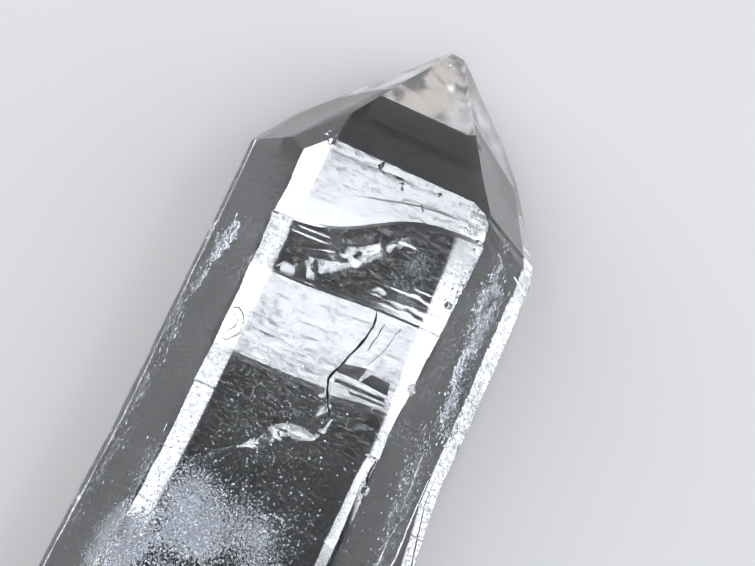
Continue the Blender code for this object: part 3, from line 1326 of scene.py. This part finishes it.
@dataclass(frozen=True)
class ClearQuartz:
    """Rock crystal: colourless, glass-smooth on its grown faces. IOR 1.544.

    Growth lines 0.2 to 0.5 mm apart and etch marks frost the prism faces in streaks across the axis. The
    streaks and grains are given by their size in millimetres.
    """

    colour: str = "FFFFFF"
    ior: float = 1.544
    polish: float = 0.012
    streak: float = 0.32
    grain: float = 0.55
    squeeze: Triple = (0.16, 1.0, 0.16)
    pattern_range: Pair = (0.16, 0.42)
    frost_range: Pair = (0.25, 1.75)
    bump_height: float = 0.004

    def make(self) -> bpy.types.Material:
        """Builds the material.

        Returns:
            The material.
        """
        material = bpy.data.materials.new("rock_crystal")
        material.use_nodes = True
        tree = material.node_tree
        shader = tree.nodes["Principled BSDF"]
        shader.inputs["Base Color"].default_value = linear(self.colour)
        shader.inputs["IOR"].default_value = self.ior
        shader.inputs["Transmission Weight"].default_value = 1.0
        frost = add_node(tree, "ShaderNodeAttribute", {"attribute_name": "frost"}).outputs["Fac"]
        places = add_node(tree, "ShaderNodeTexCoord").outputs["Object"]
        lined = add_node(tree, "ShaderNodeMapping", Vector=places, Scale=self.squeeze).outputs["Vector"]
        fine = {"Vector": lined, "Scale": 1.0 / (self.streak * MM), "Detail": 3.0, "Roughness": 0.65}
        coarse = {"Vector": places, "Scale": 1.0 / (self.grain * MM), "Detail": 4.0, "Roughness": 0.7}
        streaks = add_node(tree, "ShaderNodeTexNoise", **fine).outputs["Fac"]
        grains = add_node(tree, "ShaderNodeTexNoise", **coarse).outputs["Fac"]
        both = add_node(tree, "ShaderNodeMath", {"operation": "MULTIPLY"}, i0=streaks, i1=grains).outputs[0]
        low, high = self.pattern_range
        least, most = self.frost_range
        share = add_node(
            tree, "ShaderNodeMapRange", Value=both, From_Min=low, From_Max=high, To_Min=least, To_Max=most
        ).outputs["Result"]
        rough = add_node(
            tree, "ShaderNodeMath", {"operation": "MULTIPLY_ADD"}, i0=frost, i1=share, i2=self.polish
        ).outputs[0]
        tree.links.new(rough, shader.inputs["Roughness"])
        height = add_node(tree, "ShaderNodeMath", {"operation": "MULTIPLY"}, i0=frost, i1=both).outputs[0]
        bump = add_node(
            tree, "ShaderNodeBump", Height=height, Distance=self.bump_height * MM, Strength=1.0
        ).outputs["Normal"]
        tree.links.new(bump, shader.inputs["Normal"])
        return material


@dataclass(frozen=True)
class GrainyFill:
    """What fills hollows in the quartz, with a roughness that changes from grain to grain.

    Gas mirrors light at the quartz around it, so a cloud of tiny gas-filled flecks looks like milk, and one
    of larger flecks like silver. Both are drawn as a pale metal. The dull dark fill in an open crack is
    painted shade: it stands in for the shade inside the crack.
    """

    name: str
    rough: float
    colour: str = "EDF1F8"
    silver: float = 1.0
    rough_change: float = 0.08
    grain: float = 0.3

    def make(self) -> bpy.types.Material:
        """Builds the material.

        Returns:
            The material.
        """
        material = bpy.data.materials.new(self.name)
        material.use_nodes = True
        tree = material.node_tree
        shader = tree.nodes["Principled BSDF"]
        shader.inputs["Base Color"].default_value = linear(self.colour)
        shader.inputs["Metallic"].default_value = self.silver
        places = add_node(tree, "ShaderNodeTexCoord").outputs["Object"]
        scale = 1.0 / (self.grain * MM)
        grains = add_node(tree, "ShaderNodeTexNoise", Vector=places, Scale=scale, Detail=2.0).outputs["Fac"]
        low, high = self.rough - self.rough_change, self.rough + self.rough_change
        rough = add_node(tree, "ShaderNodeMapRange", Value=grains, To_Min=low, To_Max=high).outputs["Result"]
        tree.links.new(rough, shader.inputs["Roughness"])
        return material


@dataclass(frozen=True)
class Softbox:
    """A rectangular soft light that faces the crystal: place and sides in metres, power in watts."""

    name: str
    place: Triple
    size: Pair
    power: float
    colour: str = "F3F7FF"

    def hang(self) -> None:
        """Adds the light to the scene."""
        lamp = bpy.data.lights.new(self.name, "AREA")
        lamp.shape = "RECTANGLE"
        lamp.size, lamp.size_y = self.size
        lamp.energy = self.power
        lamp.color = linear(self.colour)[:3]
        box = bpy.data.objects.new(self.name, lamp)
        box.location = self.place
        box.rotation_euler = (-Vector(self.place)).to_track_quat("-Z", "Y").to_euler()
        bpy.context.scene.collection.objects.link(box)


@dataclass
class Studio:
    """Pale floor, soft light all round, softboxes, and the camera of the photograph.

    The camera was found by fitting an ideal quartz crystal to the edges in a picture of 755 by 566 pixels.
    """

    camera_place: Triple = (2.588, -17.826, 215.989)
    camera_right: Triple = (0.910785, 0.404602, 0.08227)
    camera_up: Triple = (-0.412867, 0.890795, 0.189805)
    camera_back: Triple = (0.00351, -0.206838, 0.978369)
    focal_pixels: float = 1592.0
    picture_pixels: float = 755.0
    sensor: float = 36.0
    nearest: float = 0.01
    floor_colour: str = "F1EFEB"
    floor_gap: float = 0.05
    world_colour: str = "F8FAFF"
    world_strength: float = 0.16
    floor_half: float = 3.0
    floor_rough: float = 0.9
    bounces: int = 24
    clear_bounces: int = 64
    softboxes: tuple[Softbox, ...] = (
        Softbox("softbox_over", (-0.015, 0.170, 0.72), (0.13, 0.15), 1.35),
        Softbox("softbox_right", (0.55, 0.05, 0.50), (0.50, 0.70), 1.8),
        Softbox("softbox_left", (-0.55, 0.05, 0.50), (0.50, 0.70), 1.8),
        Softbox("warm_card", (-0.25, -0.78, 0.18), (0.50, 0.35), 0.30, "F2E6DF"),
        Softbox("softbox_high", (0.29, 0.18, 0.60), (0.22, 0.22), 0.22),
        Softbox("key_panel", (0.06, -0.36, 0.80), (0.75, 0.45), 1.6),
    )

    def camera(self) -> None:
        """Makes the camera and gives it to the scene."""
        lens = bpy.data.cameras.new("camera")
        lens.sensor_width = self.sensor
        lens.lens = self.sensor * self.focal_pixels / self.picture_pixels
        lens.clip_start = self.nearest
        eye = bpy.data.objects.new("camera", lens)
        axes = Matrix((self.camera_right, self.camera_up, self.camera_back)).transposed()
        eye.matrix_world = Matrix.Translation(Vector(self.camera_place) * MM) @ axes.to_4x4()
        bpy.context.scene.collection.objects.link(eye)
        bpy.context.scene.camera = eye

    def floor(self) -> None:
        """Makes the plain pale floor."""
        half, low = self.floor_half, -self.floor_gap * MM
        points = np.array([[-half, -half, low], [half, -half, low], [half, half, low], [-half, half, low]])
        floor = new_piece("floor", points, [[0, 1, 2, 3]])
        material = bpy.data.materials.new("matt_paper")
        material.use_nodes = True
        shader = material.node_tree.nodes["Principled BSDF"]
        shader.inputs["Base Color"].default_value = linear(self.floor_colour)
        shader.inputs["Roughness"].default_value = self.floor_rough
        floor.data.materials.append(material)

    def world(self) -> None:
        """Soft light from all round."""
        world = bpy.data.worlds.new("soft_room")
        world.use_nodes = True
        back = world.node_tree.nodes["Background"]
        back.inputs["Color"].default_value = linear(self.world_colour)
        back.inputs["Strength"].default_value = self.world_strength
        bpy.context.scene.world = world

    def make(self) -> None:
        """Sets up the whole studio."""
        self.camera()
        self.floor()
        self.world()
        for softbox in self.softboxes:
            softbox.hang()
        bpy.context.scene.view_settings.view_transform = "Standard"
        cycles = bpy.context.scene.cycles
        cycles.caustics_refractive = False
        cycles.max_bounces = self.bounces
        cycles.transmission_bounces = self.bounces
        cycles.transparent_max_bounces = self.clear_bounces


def sparkle(count: int, path: Path, spread: Triple, size: Pair, clump: float, flat: float = 0.35) -> Cloud:
    """Gives bright six-cornered hollows that face every way."""
    return Cloud(count, path, spread, size, clump=clump, flat=flat, sides=6)


def milk(count: int, path: Path, spread: Triple, size: Pair, jitter: float, clump: float) -> Cloud:
    """Gives three-cornered flecks that face the key panel as it is seen through the upper face."""
    return Cloud(count, path, spread, size, UP_TO_KEY, jitter, clump=clump, sides=3)


# Ways that flecks face: through the upper face they mirror the key panel, and through a side face the
# softbox on the other side.
UP_TO_KEY = (0.03, 0.99, 0.14)
UP_AT_RIGHT = (-0.02, 1.0, 0.03)
UP_AT_LEFT = (0.02, 1.0, 0.03)
SPARKLES = (
    sparkle(600, ((-2.0, 10.0, 53.5), (0.0, 10.0, 70.0)), (4.0, 2.0, 5.0), (0.06, 0.30), 2.2),
    sparkle(400, ((-6.0, 11.0, 36.5), (7.0, 11.0, 35.5)), (2.6, 2.0, 2.6), (0.05, 0.24), 1.8),
    sparkle(700, ((15.0, 6.5, 28.0), (17.0, 4.5, 68.0)), (1.2, 1.4, 3.0), (0.07, 0.34), 2.0),
    sparkle(160, ((-14.0, 6.0, 36.0), (-13.0, 5.0, 44.0)), (1.5, 1.5, 2.0), (0.06, 0.26), 1.4),
    sparkle(500, ((-5.0, 10.0, 71.0), (3.0, 9.0, 80.0)), (4.0, 2.2, 4.0), (0.07, 0.32), 2.6, 0.4),
)
MILK_PATCH = ((-10.5, 12.5, 75.5), (-7.0, 12.5, 74.0), (-3.2, 12.0, 73.8))
MILK_SWEEP = ((-7.5, 11.5, 69.0), (0.0, 11.5, 70.0), (5.5, 11.0, 69.5), (3.0, 11.0, 74.0), (-1.0, 11.0, 76.5))
MILK = (
    milk(14600, MILK_PATCH, (1.4, 0.9, 2.0), (0.12, 0.28), 2.5, 6.0),
    milk(5500, ((-11.5, 11.5, 80.0), (-3.0, 10.5, 81.0)), (2.0, 1.4, 2.6), (0.10, 0.24), 4.5, 4.0),
    milk(11600, MILK_SWEEP, (2.4, 1.2, 2.2), (0.08, 0.19), 2.5, 7.0),
    milk(1500, ((6.5, 10.5, 31.0), (7.5, 10.0, 37.0)), (1.2, 1.4, 1.6), (0.03, 0.10), 9.0, 2.5),
)
CORNER_FLASH = ((-11.6, 13.0, 74.2), (-9.8, 13.0, 73.4), (-8.1, 13.0, 72.2))
FOURTH_BAND_DUST = ((-2.0, 11.0, 54.0), (3.0, 10.0, 66.0))
BRIGHT_LOOP = (
    (1.7, 12.0, 67.5),
    (3.0, 12.0, 67.9),
    (3.3, 12.0, 66.9),
    (5.0, 12.0, 67.2),
    (5.3, 12.0, 68.4),
    (3.6, 12.0, 69.2),
    (2.3, 12.0, 69.0),
)
RIGHT_WISPS = ((14.3, 9.0, 30.5), (16.2, 7.0, 35.0))
RIGHT_PATCH = ((16.2, 8.8, 39.6), (17.3, 6.2, 43.8), (18.0, 4.6, 47.0))
RIGHT_TRAIL = ((15.0, 7.6, 50.0), (16.8, 5.8, 72.0))
LEFT_PATCH = ((-16.0, 6.4, 40.0), (-13.4, 7.4, 37.0))
LEFT_SPOT = ((-15.4, 5.8, 44.4), (-14.9, 5.9, 43.2))
LEFT_TRAIL = ((-16.2, 5.5, 42.0), (-16.4, 5.0, 74.0))
SILVER = (
    Cloud(190, CORNER_FLASH, (0.45, 0.6, 0.45), (0.12, 0.36), UP_TO_KEY, jitter=4.0, clump=0.8),
    Cloud(420, FOURTH_BAND_DUST, (4.0, 2.0, 4.0), (0.06, 0.22), UP_TO_KEY, jitter=7.0, clump=1.6),
    Cloud(130, BRIGHT_LOOP, (0.12, 0.3, 0.12), (0.08, 0.26), UP_TO_KEY, jitter=5.0, clump=0.6),
    Cloud(3200, RIGHT_WISPS, (0.9, 1.2, 2.2), (0.05, 0.24), jitter=5.0, clump=1.3, stretch=2.2),
    Cloud(3600, RIGHT_PATCH, (0.8, 0.8, 1.4), (0.18, 0.50), UP_AT_RIGHT, jitter=1.5, clump=2.2),
    Cloud(1400, RIGHT_TRAIL, (1.4, 1.4, 3.5), (0.05, 0.22), jitter=7.0, clump=1.6, stretch=1.8),
    Cloud(700, LEFT_PATCH, (0.5, 0.5, 0.9), (0.18, 0.50), UP_AT_LEFT, jitter=1.5, clump=1.2),
    Cloud(90, LEFT_SPOT, (0.25, 0.3, 0.6), (0.10, 0.3), UP_AT_LEFT, jitter=2.0, clump=0.9),
    Cloud(900, LEFT_TRAIL, (1.0, 0.9, 4.0), (0.05, 0.20), jitter=9.0, clump=1.8, stretch=3.0),
)
LONG_FLASH = (
    (-8.6, 11.0, 40.2),
    (-6.4, 11.0, 39.6),
    (-4.5, 11.0, 38.4),
    (-1.1, 11.0, 35.6),
    (2.0, 11.0, 32.2),
)
SECOND_BAND_FLASH = (
    Film(1.2, LONG_FLASH, 1.6, waves=0.05),
    Film(0.7, ((-0.5, 10.0, 36.0), (1.46, 10.0, 33.4), (4.9, 10.0, 29.6)), 1.6, waves=0.05),
    Film(0.5, ((3.2, 9.0, 37.4), (4.05, 9.0, 37.0), (5.0, 9.0, 37.3)), 1.6, waves=0.04),
)
FLASH_TAIL = ((-7.9, 12.0, 64.9), (-6.6, 12.0, 64.3), (-5.4, 12.0, 62.7), (-3.4, 12.0, 61.3))
FLASH_BODY = (
    (-2.0, 12.2, 60.3),
    (-0.6, 12.2, 58.9),
    (-0.1, 12.2, 57.9),
    (0.9, 12.2, 57.2),
    (2.5, 12.2, 57.1),
    (4.4, 12.2, 57.0),
)
FOURTH_BAND_FLASH = (
    Film(0.22, FLASH_TAIL, 3.2, waves=0.015),
    Film(0.45, ((-3.8, 12.1, 61.6), (-2.0, 12.0, 60.3), (-0.6, 12.0, 59.0)), 3.2, waves=0.015),
    Film(1.0, FLASH_BODY, 3.2, waves=0.02),
    Film(0.35, ((4.0, 12.0, 57.1), (4.9, 12.0, 55.4), (5.2, 12.0, 53.8)), 3.2, waves=0.015),
    Film(0.55, ((3.3, 12.0, 54.2), (3.9, 12.0, 53.2), (4.3, 12.0, 52.3)), 3.2, waves=0.015),
    Film(0.40, ((2.8, 12.0, 52.0), (3.4, 12.0, 51.0)), 3.2, waves=0.015),
)
FLASHES_AT_LEFT = (
    Film(0.9, ((-16.0, 6.0, 40.0), (-14.0, 6.0, 38.0)), -3.0, 18.0),
    Film(0.5, ((-15.2, 5.5, 44.6), (-14.3, 5.5, 42.0)), -3.0, 18.0),
    Film(0.5, ((-12.4, 8.8, 36.7), (-11.6, 9.0, 34.6)), -3.0, 18.0),
)
VEILS_AT_RIGHT = (
    Film(0.8, ((15.4, 6.0, 39.0), (15.8, 5.5, 46.0)), 0.0, -18.5, 0.03),
    Film(0.5, ((14.0, 8.0, 30.0), (15.2, 7.0, 34.5)), -2.0, -18.5, 0.06),
    Film(0.4, ((15.6, 6.0, 52.0), (15.8, 5.0, 60.0)), 0.0, -18.5, 0.08),
    Film(0.3, ((12.8, 8.5, 31.0), (13.6, 7.5, 37.0), (15.4, 6.5, 41.0)), -2.0, -18.5, 0.08),
    Film(0.5, ((16.0, 5.0, 62.0), (15.2, 5.0, 70.0)), 0.0, -18.5, 0.08),
    Film(0.35, ((8.2, 8.5, 52.9), (12.5, 8.0, 53.2), (16.6, 6.5, 52.4)), 0.0, -18.5, 0.05),
    Film(0.25, ((11.0, 8.0, 56.0), (14.5, 7.5, 56.2), (17.4, 6.5, 55.2)), 0.0, -18.5, 0.05),
)
PHANTOM = (Film(1.15, ((11.55, -10.95, 54.0), (11.55, -10.95, 83.0)), 0.0, -55.2, 0.004, 0.12),)
FILMS = SECOND_BAND_FLASH + FOURTH_BAND_FLASH + FLASHES_AT_LEFT + VEILS_AT_RIGHT + PHANTOM


def dress(piece: bpy.types.Object, finish: ClearQuartz | GrainyFill) -> None:
    """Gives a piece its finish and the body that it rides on.

    Args:
        piece: The finished piece.
        finish: What it is made of.
    """
    piece.data.materials.append(finish.make())
    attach(piece, "root")


def main() -> None:
    """Builds the studio and the crystal, and reports each piece."""
    logging.basicConfig(level=logging.INFO, format="%(message)s")
    Studio().make()
    surface = CrystalSurface()
    crystal = surface.make()
    HealedFractures(surface.placement, SPARKLES, FILMS).join(crystal)
    crystal.data.shade_smooth()
    crystal.data.set_sharp_from_angle(angle=math.radians(surface.sharp_angle))
    surface.mark(crystal)
    dress(crystal, ClearQuartz())
    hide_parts(NODE)
    milky = HealedFractures(surface.placement, MILK).milky("milky_inclusions")
    dress(milky, GrainyFill("milky_quartz", rough=0.2))
    silvery = HealedFractures(surface.placement, SILVER).milky("silvery_inclusions")
    dress(silvery, GrainyFill("silvery_quartz", rough=0.16))
    # Painted shade: a near-black fill in the first cracks stands in for the shade inside them.
    crack_shade_fill = Damage(surface.placement).crack_shade_fill("painted_crack_shade")
    dress(crack_shade_fill, GrainyFill("crack_shade_paint", rough=0.85, colour="211E1D", silver=0.0))
    for piece in (crystal, milky, silvery, crack_shade_fill):
        piece.data.calc_loop_triangles()
        LOG.info("%s: %d triangles", piece.name, len(piece.data.loop_triangles))


if __name__ == "__main__":
    main()
